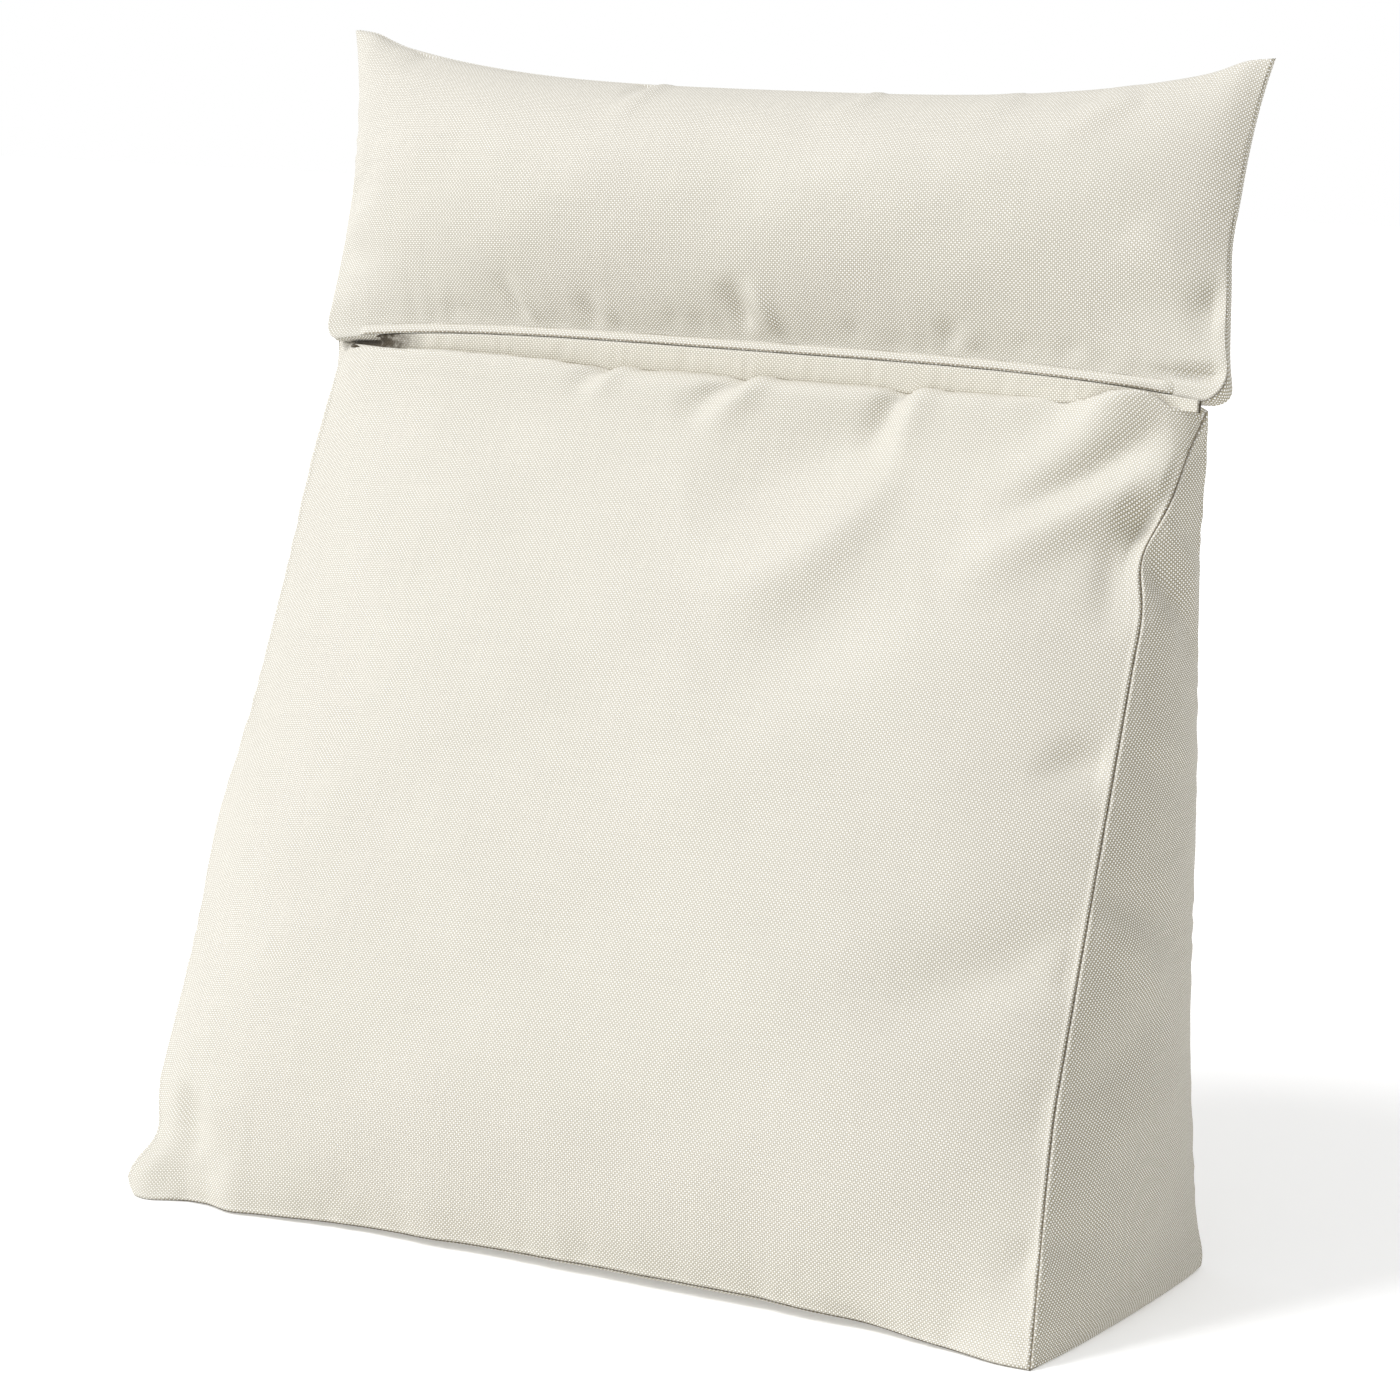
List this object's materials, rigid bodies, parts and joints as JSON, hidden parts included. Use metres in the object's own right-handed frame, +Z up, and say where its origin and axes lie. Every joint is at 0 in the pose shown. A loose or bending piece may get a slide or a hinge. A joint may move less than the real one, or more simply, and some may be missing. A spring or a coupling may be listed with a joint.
{
  "type": "backrest pillow",
  "caption": "Filled wedge cushion with a sloping front and an upright back, and a knife-edge head cushion that stands on its ridge, joined by a strip of cloth.",
  "frame": {"origin": "middle of the flat base of the wedge cushion, on the surface that it stands on", "axes": "+Z up, +X along the width, to the viewer's right when the sloping front is looked at, +Y from the sloping front to the upright back"},
  "size_m": [0.6019, 0.2601, 0.657],
  "materials": {
    "cover_cloth": "matt plain weave in off-white yarn",
    "strip_cloth": "the same plain weave, seen in the shade of the seam",
    "sewing_thread": "matt spun thread, a shade darker than the cloth"
  },
  "bodies": {
    "root": {"wedge_cushion": "cover_cloth", "head_cushion": "cover_cloth", "joining_strip": "strip_cloth", "seam_lap": "strip_cloth"}
  },
  "joints": []
}
